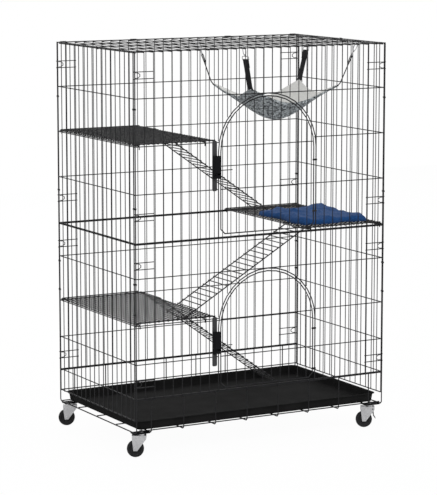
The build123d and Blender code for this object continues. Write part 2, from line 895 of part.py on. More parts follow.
# Blanket: a folded cloth with soft edges and waves across its top
blanket_right = half_width - blanket_wall_gap
blanket_left = blanket_right - blanket_length
blanket_z = middle_rest + mesh_top + seat_gap
with BuildPart() as blanket:
    for n in range(blanket_stations):
        part_way = n / (blanket_stations - 1)
        y = blanket_front - half_depth + (blanket_back - blanket_front) * part_way
        crown = blanket_height - blanket_end_droop * (2 * part_way - 1) ** 4
        inset = blanket_wave * (2 * part_way - 1) ** 2 + blanket_wave / 2 * math.sin(1.7 * n)
        left = blanket_left + inset
        right = blanket_right - inset
        outline = [(left + blanket_round, blanket_z), (right - blanket_round, blanket_z)]
        outline.append((right, blanket_z + crown / 3))
        for k in range(blanket_ridges, -1, -1):
            x = left + blanket_round + (right - left - 2 * blanket_round) * k / blanket_ridges
            fold = blanket_wave * math.sin(2.4 * n + 1.9 * k)
            outline.append((x, blanket_z + crown + fold))
        outline.append((left, blanket_z + crown / 3))
        with BuildSketch(Plane.XZ.offset(-y)):
            Polygon(*outline, align=None)
    loft(ruled=True)
save("blanket", blanket.part)

# Base: wires bent up at the front and back to a rim, with runners for the tray on top
leg_y = half_depth + frame / 2
cross_pitch = (cage_width - 2 * cross_inset) / (cross_wires - 1)
cross_xs = [cross_inset - half_width + cross_pitch * n for n in range(cross_wires)]
base_pieces = []
for x in [-half_width, *cross_xs, half_width]:
    path = [
        (-leg_y, rim_z),
        (-leg_y, base_z + frame / 2 + base_bend),
        (-leg_y + base_bend, base_z + frame / 2),
        (leg_y - base_bend, base_z + frame / 2),
        (leg_y, base_z + frame / 2 + base_bend),
        (leg_y, rim_z),
    ]
    section = Plane.XY.offset(rim_z)
    base_pieces.append(bent_wire(Plane.YZ.offset(x), path, section, (x, -leg_y), frame))
save("base_cross_wires", *base_pieces)

rim_y = half_depth - frame / 2
runner_ys = [-half_depth + runner_inset, -cage_depth / 4, 0.0, cage_depth / 4, half_depth - runner_inset]
rim_spots = [(-rim_y, rim_z - frame / 2), (rim_y, rim_z - frame / 2), (rim_y, side_bottom_z + frame / 2)]
save(
    "base_long_wires",
    bars_along_x(rim_spots, frame, -half_width - frame / 2, half_width + frame / 2),
    bars_along_x(
        [(y, base_z + frame * 1.5) for y in runner_ys],
        frame,
        -half_width - frame / 2,
        half_width + frame / 2,
    ),
)

# Tray: one moulding with sloping walls and a flared lip, sliding out to the right
tray_length = cage_width - 2 * tray_end_gap
tray_width = cage_depth - 2 * tray_side_gap
tray_top = side_bottom_z - tray_lift_gap
tray_base_inset = 2 * (tray_lip + tray_slope)
with BuildPart() as tray:
    with BuildSketch(Plane.XY.offset(runner_top)):
        RectangleRounded(
            tray_length - tray_base_inset, tray_width - tray_base_inset, tray_corner - tray_slope
        )
    with BuildSketch(Plane.XY.offset(tray_top)):
        RectangleRounded(tray_length - 2 * tray_lip, tray_width - 2 * tray_lip, tray_corner)
    loft()
    with BuildSketch(Plane.XY.offset(tray_floor_z)):
        RectangleRounded(
            tray_length - tray_base_inset - 2 * tray_wall,
            tray_width - tray_base_inset - 2 * tray_wall,
            tray_corner - tray_slope - tray_wall,
        )
    with BuildSketch(Plane.XY.offset(tray_top)):
        RectangleRounded(
            tray_length - 2 * (tray_lip + tray_wall),
            tray_width - 2 * (tray_lip + tray_wall),
            tray_corner - tray_wall,
        )
    loft(mode=Mode.SUBTRACT)
    with BuildSketch(Plane.XY.offset(tray_top - tray_wall)):
        RectangleRounded(tray_length, tray_width, tray_corner + tray_lip)
        RectangleRounded(
            tray_length - 2 * (tray_lip + tray_wall / 2),
            tray_width - 2 * (tray_lip + tray_wall / 2),
            tray_corner - tray_wall / 2,
            mode=Mode.SUBTRACT,
        )
    extrude(amount=tray_wall)
save("tray", tray.part)

# Casters
caster_spots = [
    (sx * (half_width - caster_x_inset), sy * (half_depth - caster_y_inset))
    for sy in (-1, 1)
    for sx in (-1, 1)
]
caster_names = ("front_left", "front_right", "back_left", "back_right")
plate_bottom = base_z - plate_thick
plate_end = cross_inset + frame / 2
with BuildPart() as plates:
    for x, y in caster_spots:
        plate_length = plate_end + frame / 2
        middle = math.copysign(half_width + frame / 2 - plate_length / 2, x)
        with BuildSketch(Plane.XY.offset(plate_bottom)) as outline:
            with Locations((middle, y)):
                Rectangle(plate_length, plate_width)
            chamfer(outline.vertices(), plate_corner)
            with Locations((x, y)):
                RegularPolygon(stem_radius + stem_gap, round_sides, mode=Mode.SUBTRACT, major_radius=False)
        extrude(amount=plate_thick)
save("caster_plates", *plates.part.solids())

with BuildPart() as nuts:
    with BuildSketch(Plane.XY.offset(base_z)):
        with Locations(*caster_spots):
            RegularPolygon(nut_across / 2, 6, major_radius=False)
            RegularPolygon(
                stem_radius + stem_gap, round_sides, mode=Mode.SUBTRACT, major_radius=False
            )
    extrude(amount=nut_height)
save("caster_nuts", *nuts.part.solids())

fork_top = plate_bottom - collar_height
fork_under = fork_top - fork_thick
with BuildPart() as stems:
    for bottom, top, radius in (
        (fork_under, base_z + nut_height + stem_above_nut, stem_radius),
        (fork_top + seat_gap, plate_bottom, collar_radius),
        (fork_under - rivet_height, fork_under - running_gap, stem_radius + rivet_rim),
    ):
        with BuildSketch(Plane.XY.offset(bottom)):
            with Locations(*caster_spots):
                RegularPolygon(radius, round_sides)
        extrude(amount=top - bottom)
save("caster_stems", *stems.part.solids())

axle_z = wheel_diameter / 2
brake_pin = (-brake_pin_back, fork_under - brake_pin_drop)
braked = ("front_right", "back_right")
trail = Vector(math.cos(math.radians(trail_angle)), math.sin(math.radians(trail_angle)), 0)


def caster(name, x, y, has_brake):
    """A fork that turns about its stem, with the wheel behind it."""
    side_out = fork_gap / 2 + fork_thick
    fork_plane = Plane(origin=(x, y, 0), x_dir=trail, z_dir=trail.rotate(Axis.Z, -90))
    with BuildPart() as fork:
        with BuildSketch(fork_plane.offset(-side_out)):
            with BuildLine():
                Polyline(
                    (-fork_nose, fork_top),
                    (fork_length - fork_nose, fork_top),
                    (fork_length - fork_nose, fork_top - fork_skirt),
                    (wheel_trail + axle_boss, axle_z - fork_below_axle),
                    (wheel_trail - axle_boss, axle_z - fork_below_axle),
                    (-fork_nose, fork_top - fork_skirt),
                    close=True,
                )
            make_face()
        extrude(amount=2 * side_out)
        with BuildSketch(fork_plane.offset(-fork_gap / 2)):
            with Locations((fork_length / 2 - fork_nose, fork_under / 2)):
                Rectangle(fork_length * 2, fork_under)
        extrude(amount=fork_gap, mode=Mode.SUBTRACT)
        with BuildSketch(Plane.XY.offset(fork_under - 1)):
            with Locations((x, y)):
                RegularPolygon(stem_radius + stem_gap, round_sides, major_radius=False)
        extrude(amount=fork_thick + 2, mode=Mode.SUBTRACT)
        with BuildSketch(fork_plane.offset(-side_out - 1)):
            with Locations((wheel_trail, axle_z)):
                RegularPolygon(axle_radius, axle_sides, major_radius=False)
            if has_brake:
                with Locations(brake_pin):
                    RegularPolygon(brake_pin_radius + running_gap, axle_sides, major_radius=False)
        extrude(amount=2 * side_out + 2, mode=Mode.SUBTRACT)
    save(f"{name}_fork", fork.part)

    with BuildPart() as axle:
        with BuildSketch(fork_plane.offset(-side_out - axle_head)):
            with Locations((wheel_trail, axle_z)):
                RegularPolygon(axle_radius, axle_sides)
        extrude(amount=2 * (side_out + axle_head))
        with BuildSketch(fork_plane.offset(side_out), fork_plane.offset(-side_out - axle_head)):
            with Locations((wheel_trail, axle_z)):
                RegularPolygon(axle_radius + axle_rim, 6, major_radius=False)
        extrude(amount=axle_head)
    save(f"{name}_axle", axle.part)

    wheel_plane = fork_plane.offset(-wheel_width / 2)
    spot = (wheel_trail, axle_z)
    with BuildPart() as wheel:
        with BuildSketch(wheel_plane.offset(wheel_shoulder)):
            with Locations(spot):
                RegularPolygon(wheel_diameter / 2, wheel_sides)
        extrude(amount=wheel_width - 2 * wheel_shoulder)
        chamfer(wheel.edges(), wheel_round)
        with BuildSketch(wheel_plane):
            with Locations(spot):
                RegularPolygon(hub_radius, round_sides)
        extrude(amount=wheel_width)
        with BuildSketch(wheel_plane):
            with Locations(spot):
                RegularPolygon(axle_radius + running_gap, round_sides, major_radius=False)
        extrude(amount=wheel_width, mode=Mode.SUBTRACT)
    save(f"{name}_wheel", wheel.part)


def brake(name, x, y):
    """A pedal that hangs between the fork's legs in front of the wheel."""
    fork_plane = Plane(origin=(x, y, 0), x_dir=trail, z_dir=trail.rotate(Axis.Z, -90))
    half = fork_gap / 2 - 1
    pin_x, pin_z = brake_pin
    toe_x = -brake_toe
    knee_x = pin_x - brake_knee
    with BuildPart() as lever:
        with BuildSketch(fork_plane.offset(-half)):
            with BuildLine():
                Polyline(
                    (pin_x + brake_thick, pin_z),
                    (pin_x, pin_z + brake_thick * 1.5),
                    (pin_x - brake_thick * 1.5, pin_z),
                    (knee_x - brake_thick / 2, axle_z + brake_knee_rise),
                    (toe_x - brake_thick / 2, axle_z + brake_toe_rise + brake_thick / 2),
                    (toe_x, axle_z + brake_toe_rise - brake_thick / 2),
                    (knee_x + brake_thick / 2, axle_z + brake_knee_rise - brake_thick / 2),
                    close=True,
                )
            make_face()
        extrude(amount=2 * half)
        with BuildSketch(fork_plane.offset(-fork_gap / 2 - fork_thick - 1)):
            with Locations(brake_pin):
                RegularPolygon(brake_pin_radius, axle_sides)
        extrude(amount=fork_gap + 2 * fork_thick + 2)
    save(f"{name}_brake", lever.part)


for name, (x, y) in zip(caster_names, caster_spots):
    caster(name, x, y, name in braked)
    if name in braked:
        brake(name, x, y)
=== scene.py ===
import math

import bmesh
import bpy
import numpy as np
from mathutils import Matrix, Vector


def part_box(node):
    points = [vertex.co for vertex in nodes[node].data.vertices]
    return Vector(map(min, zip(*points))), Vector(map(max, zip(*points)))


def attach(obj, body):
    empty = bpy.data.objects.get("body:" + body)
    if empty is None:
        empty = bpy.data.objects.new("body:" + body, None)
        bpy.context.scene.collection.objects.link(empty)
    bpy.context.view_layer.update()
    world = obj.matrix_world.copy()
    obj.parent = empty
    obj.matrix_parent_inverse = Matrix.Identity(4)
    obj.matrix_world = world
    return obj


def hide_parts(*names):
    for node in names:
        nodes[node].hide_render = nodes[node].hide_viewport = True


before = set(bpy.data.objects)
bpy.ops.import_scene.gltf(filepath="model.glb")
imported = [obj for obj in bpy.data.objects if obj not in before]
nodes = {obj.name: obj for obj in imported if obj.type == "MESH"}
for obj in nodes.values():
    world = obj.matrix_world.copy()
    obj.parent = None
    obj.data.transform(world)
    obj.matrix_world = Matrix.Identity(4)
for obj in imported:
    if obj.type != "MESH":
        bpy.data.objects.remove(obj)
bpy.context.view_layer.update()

# The studio: a white floor, soft lamps and the camera that took the picture, a long lens
# turned 29 degrees to the cage and a little above it.
camera_place = (-3.6716, -6.5899, 1.7619)
camera_turn = math.radians(-29.071)
camera_pitch = math.radians(90 - 8.682)
lens = 166.11
lamp_size = 4.0
lamp_aim = Vector((0, 0, 0.6))
air_strength = 0.55

camera = bpy.data.objects.new("camera", bpy.data.cameras.new("camera"))
camera.location = camera_place
camera.rotation_euler = (camera_pitch, 0, camera_turn)
camera.data.lens = lens
camera.data.clip_end = 60
bpy.context.scene.collection.objects.link(camera)
bpy.context.scene.camera = camera
bpy.context.scene.view_settings.view_transform = "Standard"

for name, place, watts in (
    ("key_lamp", (-4.5, -5.0, 5.0), 230),
    ("fill_lamp", (4.5, -4.0, 3.5), 130),
    ("back_lamp", (1.0, 5.0, 4.5), 150),
):
    lamp = bpy.data.objects.new(name, bpy.data.lights.new(name, "AREA"))
    lamp.data.energy = watts
    lamp.data.size = lamp_size
    lamp.location = place
    aim = lamp_aim - lamp.location
    lamp.rotation_euler = aim.to_track_quat("-Z", "Y").to_euler()
    bpy.context.scene.collection.objects.link(lamp)


def seen_as_white(tree, lit):
    """Mixes a lit surface with plain white for the rays that come straight from the
    camera or off a gloss, so that the background stays white and metal shows it."""
    path = tree.nodes.new("ShaderNodeLightPath")
    either = tree.nodes.new("ShaderNodeMath")
    either.operation = "MAXIMUM"
    tree.links.new(path.outputs["Is Camera Ray"], either.inputs[0])
    tree.links.new(path.outputs["Is Glossy Ray"], either.inputs[1])
    white = tree.nodes.new("ShaderNodeEmission")
    if tree.nodes.get("World Output"):
        white = tree.nodes.new("ShaderNodeBackground")
    white.inputs["Color"].default_value = (1, 1, 1, 1)
    white.inputs["Strength"].default_value = 1
    mix = tree.nodes.new("ShaderNodeMixShader")
    tree.links.new(either.outputs[0], mix.inputs["Fac"])
    tree.links.new(lit, mix.inputs[1])
    tree.links.new(white.outputs[0], mix.inputs[2])
    return mix.outputs[0]


world = bpy.data.worlds.new("studio_air")
world.use_nodes = True
air = world.node_tree
plain = air.nodes["Background"]
plain.inputs["Color"].default_value = (1, 1, 1, 1)
plain.inputs["Strength"].default_value = air_strength
air.links.new(seen_as_white(air, plain.outputs[0]), air.nodes["World Output"].inputs["Surface"])
bpy.context.scene.world = world


def new_piece(name, verts, faces, materials):
    """One mesh from arrays of points and faces, linked at the origin."""
    mesh = bpy.data.meshes.new(name)
    mesh.from_pydata(verts.tolist(), [], faces.tolist() if hasattr(faces, "tolist") else faces)
    for material in materials:
        mesh.materials.append(material)
    mesh.polygons.foreach_set("use_smooth", [True] * len(mesh.polygons))
    mesh.update()
    piece = bpy.data.objects.new(name, mesh)
    bpy.context.scene.collection.objects.link(piece)
    return piece


# Floor: a wide white sheet. Straight from the camera it is nearly its own light, so that it
# runs into the white air and keeps only a faint shadow.
floor_half = 6.0
floor_glow = 0.97
floor_material = bpy.data.materials.new("white_floor")
floor_material.use_nodes = True
tree = floor_material.node_tree
matt = tree.nodes["Principled BSDF"]
matt.inputs["Base Color"].default_value = (0.9, 0.9, 0.9, 1)
matt.inputs["Roughness"].default_value = 0.9
fade = tree.nodes.new("ShaderNodeEmission")
fade.inputs["Color"].default_value = (1, 1, 1, 1)
faded = tree.nodes.new("ShaderNodeMixShader")
faded.inputs["Fac"].default_value = floor_glow
tree.links.new(matt.outputs[0], faded.inputs[1])
tree.links.new(fade.outputs[0], faded.inputs[2])
ray = tree.nodes.new("ShaderNodeLightPath")
straight = tree.nodes.new("ShaderNodeMixShader")
tree.links.new(ray.outputs["Is Camera Ray"], straight.inputs["Fac"])
tree.links.new(matt.outputs[0], straight.inputs[1])
tree.links.new(faded.outputs[0], straight.inputs[2])
tree.links.new(straight.outputs[0], tree.nodes["Material Output"].inputs["Surface"])
floor_corners = floor_half * np.array([[-1, -1, 0], [1, -1, 0], [1, 1, 0], [-1, 1, 0]])
floor = new_piece("floor", floor_corners, [[0, 1, 2, 3]], [floor_material])


# Wire and sheet steel under a black powder coat: satin, with the fine orange peel that the
# powder leaves, a little lighter where it lies thin. It is on every panel, shelf and ramp.
def new_group(name, numbers):
    """An empty group with numbers and two shades in, and a colour and a normal out."""
    group = bpy.data.node_groups.new(name, "ShaderNodeTree")
    sockets = [(number, "NodeSocketFloat", "INPUT") for number in numbers]
    sockets += [(shade, "NodeSocketColor", "INPUT") for shade in ("Dark", "Light")]
    sockets += [("Color", "NodeSocketColor", "OUTPUT"), ("Normal", "NodeSocketVector", "OUTPUT")]
    for socket, kind, way in sockets:
        group.interface.new_socket(name=socket, in_out=way, socket_type=kind)
    return group, group.nodes.new("NodeGroupInput"), group.nodes.new("NodeGroupOutput")


def grain_group():
    """Uneven shade and fine bumps from two noises, a fine and a broad one, multiplied."""
    group, inside, outside = new_group("surface_grain", ("Size", "Depth"))
    place = group.nodes.new("ShaderNodeTexCoord")
    fine = group.nodes.new("ShaderNodeTexNoise")
    fine.inputs["Detail"].default_value = 4
    broad = group.nodes.new("ShaderNodeTexNoise")
    broad.inputs["Scale"].default_value = 14
    broad.inputs["Detail"].default_value = 3
    blend = group.nodes.new("ShaderNodeMath")
    blend.operation = "MULTIPLY"
    widen = group.nodes.new("ShaderNodeMapRange")
    widen.inputs["From Min"].default_value = 0.12
    widen.inputs["From Max"].default_value = 0.42
    colour = group.nodes.new("ShaderNodeMix")
    colour.data_type = "RGBA"
    bump = group.nodes.new("ShaderNodeBump")
    bump.inputs["Distance"].default_value = 0.0004
    link = group.links.new
    link(place.outputs["Object"], fine.inputs["Vector"])
    link(place.outputs["Object"], broad.inputs["Vector"])
    link(inside.outputs["Size"], fine.inputs["Scale"])
    link(fine.outputs["Fac"], blend.inputs[0])
    link(broad.outputs["Fac"], blend.inputs[1])
    link(blend.outputs[0], widen.inputs["Value"])
    link(widen.outputs[0], colour.inputs["Factor"])
    link(inside.outputs["Dark"], colour.inputs["A"])
    link(inside.outputs["Light"], colour.inputs["B"])
    link(fine.outputs["Fac"], bump.inputs["Height"])
    link(inside.outputs["Depth"], bump.inputs["Strength"])
    link(colour.outputs["Result"], outside.inputs["Color"])
    link(bump.outputs["Normal"], outside.inputs["Normal"])
    return group


surface_grain = grain_group()


def patterned(name, group, numbers, dark, light):
    """A material whose colour and bumps come from a group, and its shader."""
    material = bpy.data.materials.new(name)
    material.use_nodes = True
    links = material.node_tree.links
    shader = material.node_tree.nodes["Principled BSDF"]
    pattern = material.node_tree.nodes.new("ShaderNodeGroup")
    pattern.node_tree = group
    for socket, number in numbers.items():
        pattern.inputs[socket].default_value = number
    pattern.inputs["Dark"].default_value = (*dark, 1)
    pattern.inputs["Light"].default_value = (*light, 1)
    links.new(pattern.outputs["Color"], shader.inputs["Base Color"])
    links.new(pattern.outputs["Normal"], shader.inputs["Normal"])
    return material, shader


def finish(name, dark, light, size, depth, roughness, metallic=0.0, gloss=0.5):
    """A plain finish: one colour that wavers between two, with grain of one size."""
    numbers = {"Size": size, "Depth": depth}
    material, shader = patterned(name, surface_grain, numbers, dark, light)
    shader.inputs["Roughness"].default_value = roughness
    shader.inputs["Metallic"].default_value = metallic
    shader.inputs["Specular IOR Level"].default_value = gloss
    return material


coated_wire = finish(
    "coated_wire", (0.005, 0.005, 0.006), (0.011, 0.011, 0.012), 900, 0.25, 0.5, gloss=0.2
)


def carry(material, *names):
    """Gives a finish to CAD nodes that keep their own shape."""
    for name in names:
        nodes[name].data.materials.clear()
        nodes[name].data.materials.append(material)


carry(
    coated_wire, "base_cross_wires", "base_long_wires", "front_upper_panel", "front_lower_panel",
    "back_upper_panel", "back_lower_panel", "left_upper_panel", "left_lower_panel",
    "right_upper_panel", "right_lower_panel", "roof_panel", "upper_doorway", "lower_doorway",
    "upper_door", "lower_door", "upper_hinge_rings", "lower_hinge_rings", "upper_shelf",
    "middle_shelf", "lower_shelf", "upper_ramp", "middle_ramp", "lower_ramp", "corner_hooks",
    "post_clips", "roof_clips",
)

# Latches: a long steel plate in dark paint that stands on two of the front panel's bars, with a
# moulded black block on it and a black bolt that slides in the block.
latch_paint = finish(
    "latch_paint", (0.024, 0.024, 0.026), (0.042, 0.042, 0.044), 500, 0.3, 0.6, gloss=0.2
)
block_plastic = finish(
    "block_plastic", (0.004, 0.004, 0.005), (0.009, 0.009, 0.01), 1500, 0.3, 0.75, gloss=0.06
)
carry(latch_paint, "upper_latch_plate", "lower_latch_plate")
carry(block_plastic, "upper_latch_block", "lower_latch_block", "upper_bolt", "lower_bolt")

# Casters: zinc plated forks, stems and axles under black plates, and on the right ones a
# black brake pedal.
zinc = finish("zinc", (0.42, 0.42, 0.43), (0.62, 0.62, 0.63), 240, 0.15, 0.32, 0.85)
carry(zinc, "caster_nuts", "caster_stems")
carry(block_plastic, "caster_plates", "front_right_brake", "back_right_brake")
corners = ("front_left", "front_right", "back_left", "back_right")
for corner in corners:
    carry(zinc, f"{corner}_fork", f"{corner}_axle")

# Wheels: a hard black tyre with a rounded tread on a moulded centre with five shallow
# pockets, on a boss that runs on the axle.
wheel_rubber = finish(
    "wheel_rubber", (0.008, 0.008, 0.009), (0.02, 0.02, 0.021), 420, 0.35, 0.7, gloss=0.2
)
wheel_radius = 0.0275
wheel_steps = 64
pockets = 5
pocket_depth = 0.0016
pocket_start, pocket_end = 0.0084, 0.018
half_width = 0.462
half_depth = 0.2805
caster_x = half_width - 0.030
caster_y = half_depth - 0.0245
trail_length = 0.019
trail_angle = math.radians(151)
trail = np.array([math.cos(trail_angle), math.sin(trail_angle), 0])
spin = np.array([-trail[1], trail[0], 0])
wheel_outline = np.array([
    (3.1, 10), (7.2, 10), (8, 9.4), (8.6, 7.2), (17.5, 6.4), (18.8, 8.4), (20, 9), (24, 9),
    (26.2, 8), (27.2, 6), (27.5, 3), (27.5, 0),
]) / 1000
wheel_outline = np.vstack([wheel_outline, wheel_outline[-2::-1] * (1, -1)])


def ring_faces(rings, around):
    """Quads of a closed grid of rings, each of them a closed loop."""
    i, j = np.meshgrid(np.arange(rings), np.arange(around), indexing="ij")
    i2, j2 = (i + 1) % rings, (j + 1) % around
    quads = [i * around + j, i * around + j2, i2 * around + j2, i2 * around + j]
    return np.stack(quads, -1).reshape(-1, 4)


def outward(piece):
    """Turns the faces of a new closed piece to point out of it."""
    shape = bmesh.new()
    shape.from_mesh(piece.data)
    bmesh.ops.remove_doubles(shape, verts=shape.verts, dist=1e-6)
    bmesh.ops.recalc_face_normals(shape, faces=shape.faces)
    shape.to_mesh(piece.data)
    shape.free()
    return piece


turn = np.linspace(0, 2 * np.pi, wheel_steps, endpoint=False)
radial = np.cos(turn)[:, None] * trail + np.sin(turn)[:, None] * np.array([0, 0, 1])
out, across = wheel_outline[:, 0], wheel_outline[:, 1]
pocket = pocket_depth * np.clip(np.cos(pockets * turn), 0, 1)[None, :]
web = ((out > pocket_start) & (out < pocket_end)).astype(float)[:, None]
depth = across[:, None] - np.sign(across)[:, None] * web * pocket
wheel_shape = out[:, None, None] * radial[None] + depth[..., None] * spin
for corner in corners:
    sx, sy = (1 if "right" in corner else -1), (1 if "back" in corner else -1)
    centre = np.array([sx * caster_x, sy * caster_y, wheel_radius]) + trail_length * trail
    verts = centre + wheel_shape
    wheel = new_piece(
        f"{corner}_tyre", verts.reshape(-1, 3), ring_faces(len(out), wheel_steps), [wheel_rubber]
    )
    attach(outward(wheel), f"{corner}_wheel")
    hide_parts(f"{corner}_wheel")

# Tray: vacuum formed from black plastic sheet, with a flat pebbled floor, walls that curve
# in and a rim that flares out and down over the base wires.
tray_plastic = finish(
    "tray_plastic", (0.008, 0.008, 0.008), (0.015, 0.015, 0.015), 700, 0.5, 0.85, gloss=0.03
)
tray_low, tray_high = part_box("tray")
tray_half = np.array([tray_high.x, tray_high.y])
tray_profile = np.array([
    (25, 2.0), (16, 2.0), (14, 2.9), (12.6, 5), (11.4, 10), (10, 17), (9, 23), (8.2, 28),
    (7, 29.6), (4, 30.25), (1, 30.25), (0, 29.6), (0.2, 28.25), (2.5, 28.25), (6.2, 27),
    (7.2, 22), (8.4, 15), (9.6, 8), (10.4, 3), (12.5, 0.6), (16, 0.1), (25, 0.1),
]) / 1000
tray_corner = 0.024
corner_steps = 10
tray_crease = math.radians(50)


def rounded_loop(half_size, inset, radius):
    """A rounded rectangle's points, drawn in from its full size by an inset."""
    size = half_size - inset
    rounding = max(radius - inset, 0.002)
    angle = np.linspace(0, np.pi / 2, corner_steps)
    bend = rounding * np.stack([np.cos(angle), np.sin(angle)], -1)
    middle = size - rounding
    loop = []
    for turn_x, turn_y, flip in ((1, 1, 1), (-1, 1, -1), (-1, -1, 1), (1, -1, -1)):
        points = (middle + bend) * (turn_x, turn_y)
        loop.append(points[::flip])
    return np.vstack(loop)


rings = np.stack([
    np.column_stack([rounded_loop(tray_half, inset, tray_corner), np.full(4 * corner_steps, rise)])
    for inset, rise in tray_profile
])
rings[..., 2] += tray_low.z
around = 4 * corner_steps
wall = ring_faces(len(rings), around)[: (len(rings) - 1) * around]
last = (len(rings) - 1) * around
caps = [list(range(around)), list(range(last, last + around))]
tray = new_piece("tray_moulding", rings.reshape(-1, 3), wall.tolist() + caps, [tray_plastic])
edges = outward(tray).modifiers.new("sharp", "EDGE_SPLIT")
edges.split_angle = tray_crease
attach(tray, "tray")
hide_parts("tray")

# Hanging bed: curly grey fleece outside and pale plush inside, sewn along the edge and hung
# by its four corners, so that the cloth hollows and its edges draw in.
bed_left, bed_right = 0.005, 0.346
bed_front, bed_back = -0.1865, 0.0695
bed_top = 1.157
edge_sag, end_sag, belly_sag = 0.054, 0.032, 0.028
cloth_thick = 0.007
edge_pull = 0.012
blunt = 0.4
fold_depth = 0.002
bed_columns, bed_rows = 73, 57


def pile_group():
    """Curls from the cells of a cell pattern, each with its own shade, mixed with the lie of
    the nap, and a bump that falls from each cell's middle."""
    group, inside, outside = new_group("cloth_pile", ("Curls", "Nap", "Speckle", "Depth", "Rise"))
    new, link = group.nodes.new, group.links.new
    place = new("ShaderNodeTexCoord")
    curls = new("ShaderNodeTexVoronoi")
    nap = new("ShaderNodeTexNoise")
    nap.inputs["Detail"].default_value = 5
    shade = new("ShaderNodeMix")
    colour = new("ShaderNodeMix")
    colour.data_type = "RGBA"
    bump = new("ShaderNodeBump")
    split = new("ShaderNodeSeparateColor")
    link(place.outputs["Object"], curls.inputs["Vector"])
    link(place.outputs["Object"], nap.inputs["Vector"])
    link(inside.outputs["Curls"], curls.inputs["Scale"])
    link(inside.outputs["Nap"], nap.inputs["Scale"])
    link(curls.outputs["Color"], split.inputs["Color"])
    link(inside.outputs["Speckle"], shade.inputs["Factor"])
    link(nap.outputs["Fac"], shade.inputs["A"])
    link(split.outputs["Red"], shade.inputs["B"])
    link(shade.outputs["Result"], colour.inputs["Factor"])
    link(inside.outputs["Dark"], colour.inputs["A"])
    link(inside.outputs["Light"], colour.inputs["B"])
    link(inside.outputs["Depth"], bump.inputs["Strength"])
    link(inside.outputs["Rise"], bump.inputs["Distance"])
    link(curls.outputs["Distance"], bump.inputs["Height"])
    link(colour.outputs["Result"], outside.inputs["Color"])
    link(bump.outputs["Normal"], outside.inputs["Normal"])
    return group


cloth_pile = pile_group()


def fabric(name, dark, light, cell, depth, sheen, speckle):
    """Pile cloth with curls or tufts of one size, in metres."""
    numbers = {"Curls": 1 / cell, "Nap": 0.6 / cell, "Speckle": speckle}
    numbers |= {"Depth": depth, "Rise": cell * 0.6}
    material, shader = patterned(name, cloth_pile, numbers, dark, light)
    shader.inputs["Roughness"].default_value = 0.95
    shader.inputs["Specular IOR Level"].default_value = 0.2
    shader.inputs["Sheen Weight"].default_value = sheen
    return material


plush = fabric("pale_plush", (0.56, 0.56, 0.54), (0.72, 0.72, 0.70), 0.0035, 0.5, 0.3, 0.3)
curly = fabric("curly_fleece", (0.005, 0.008, 0.012), (0.50, 0.54, 0.56), 0.0062, 1.0, 0.1, 1.0)


def bed_point(u, v):
    """The underside of the cloth: between its edges a parabola blended with a cosine, which
    blunts the corners, deeper in the middle, with small folds fanning from the ends."""
    a, b = 2 * u - 1, 2 * v - 1
    sag_u, sag_v = ((1 - blunt) * (1 - t**2) + blunt * (1 + np.cos(np.pi * t)) / 2 for t in (a, b))
    x = bed_left + (bed_right - bed_left) * u - edge_pull * sag_v * a
    y = bed_front + (bed_back - bed_front) * v - edge_pull * sag_u * b
    fan = fold_depth * np.sin(9 * np.arctan2(b, np.abs(a) + 0.1)) * np.abs(a) ** 3 * sag_v
    z = bed_top - edge_sag * sag_u - end_sag * sag_v - belly_sag * sag_u * sag_v + fan
    return np.stack([x, y, z - cloth_thick], -1)


def grid_quads(columns, rows):
    """The quads between the points of a grid."""
    grid = np.arange(columns * rows).reshape(columns, rows)
    quads = [grid[:-1, :-1], grid[1:, :-1], grid[1:, 1:], grid[:-1, 1:]]
    return np.stack(quads, -1).reshape(-1, 4)


u, v = np.meshgrid(np.linspace(0, 1, bed_columns), np.linspace(0, 1, bed_rows), indexing="ij")
cloth = bed_point(u, v)
quads = grid_quads(bed_columns, bed_rows)
bed = new_piece("hanging_bed_cloth", cloth.reshape(-1, 3), quads, [plush, curly])
thick = bed.modifiers.new("two_layers", "SOLIDIFY")
thick.thickness = cloth_thick
thick.offset = 1
thick.material_offset = 1
thick.material_offset_rim = 1
round_off = bed.modifiers.new("soft", "SUBSURF")
round_off.levels = round_off.render_levels = 1
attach(bed, "cage")
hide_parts("hanging_bed")

# Straps and snap hooks: black webbing sewn between the two layers at each corner and looped
# through the eye of a bright cast hook, which swivels so that the strap hangs to its pull.
webbing = finish("webbing", (0.006, 0.006, 0.007), (0.02, 0.02, 0.021), 700, 0.8, 0.75, gloss=0.2)
hook_steel = finish("hook_steel", (0.28, 0.28, 0.29), (0.46, 0.46, 0.47), 300, 0.1, 0.3, 0.9)
hang_height = 1.29025
hang_xs = (-0.033, 0.396)
hang_ys = (-0.2125, 0.0955)
strap_half, strap_thick = 0.009, 0.0016
rod = 0.00125
gate_middle, gate_length, gate_width, gate_bend = 0.0107, 0.0275, 0.0105, 0.005
neck_steps = np.array([0.0245, 0.0255, 0.027, 0.029, 0.0300, 0.0315])
neck_radii = np.array([0.002, 0.0034, 0.0036, 0.0034, 0.0022, 0.0018])
eye_middle, eye_length, eye_width, eye_bend = 0.0375, 0.0135, 0.0225, 0.003
eye_bar = 0.0437
strap_bend = 0.0024
strap_tail, tail_rise = 0.028, 0.0022
strap_start, strap_drop = 0.03, 0.0012
strap_end, end_drop = 0.004, 0.001
seam_shares = np.array([0.012, 0.022, 0.032])


def unit(vector):
    return vector / np.linalg.norm(vector, axis=-1, keepdims=True)


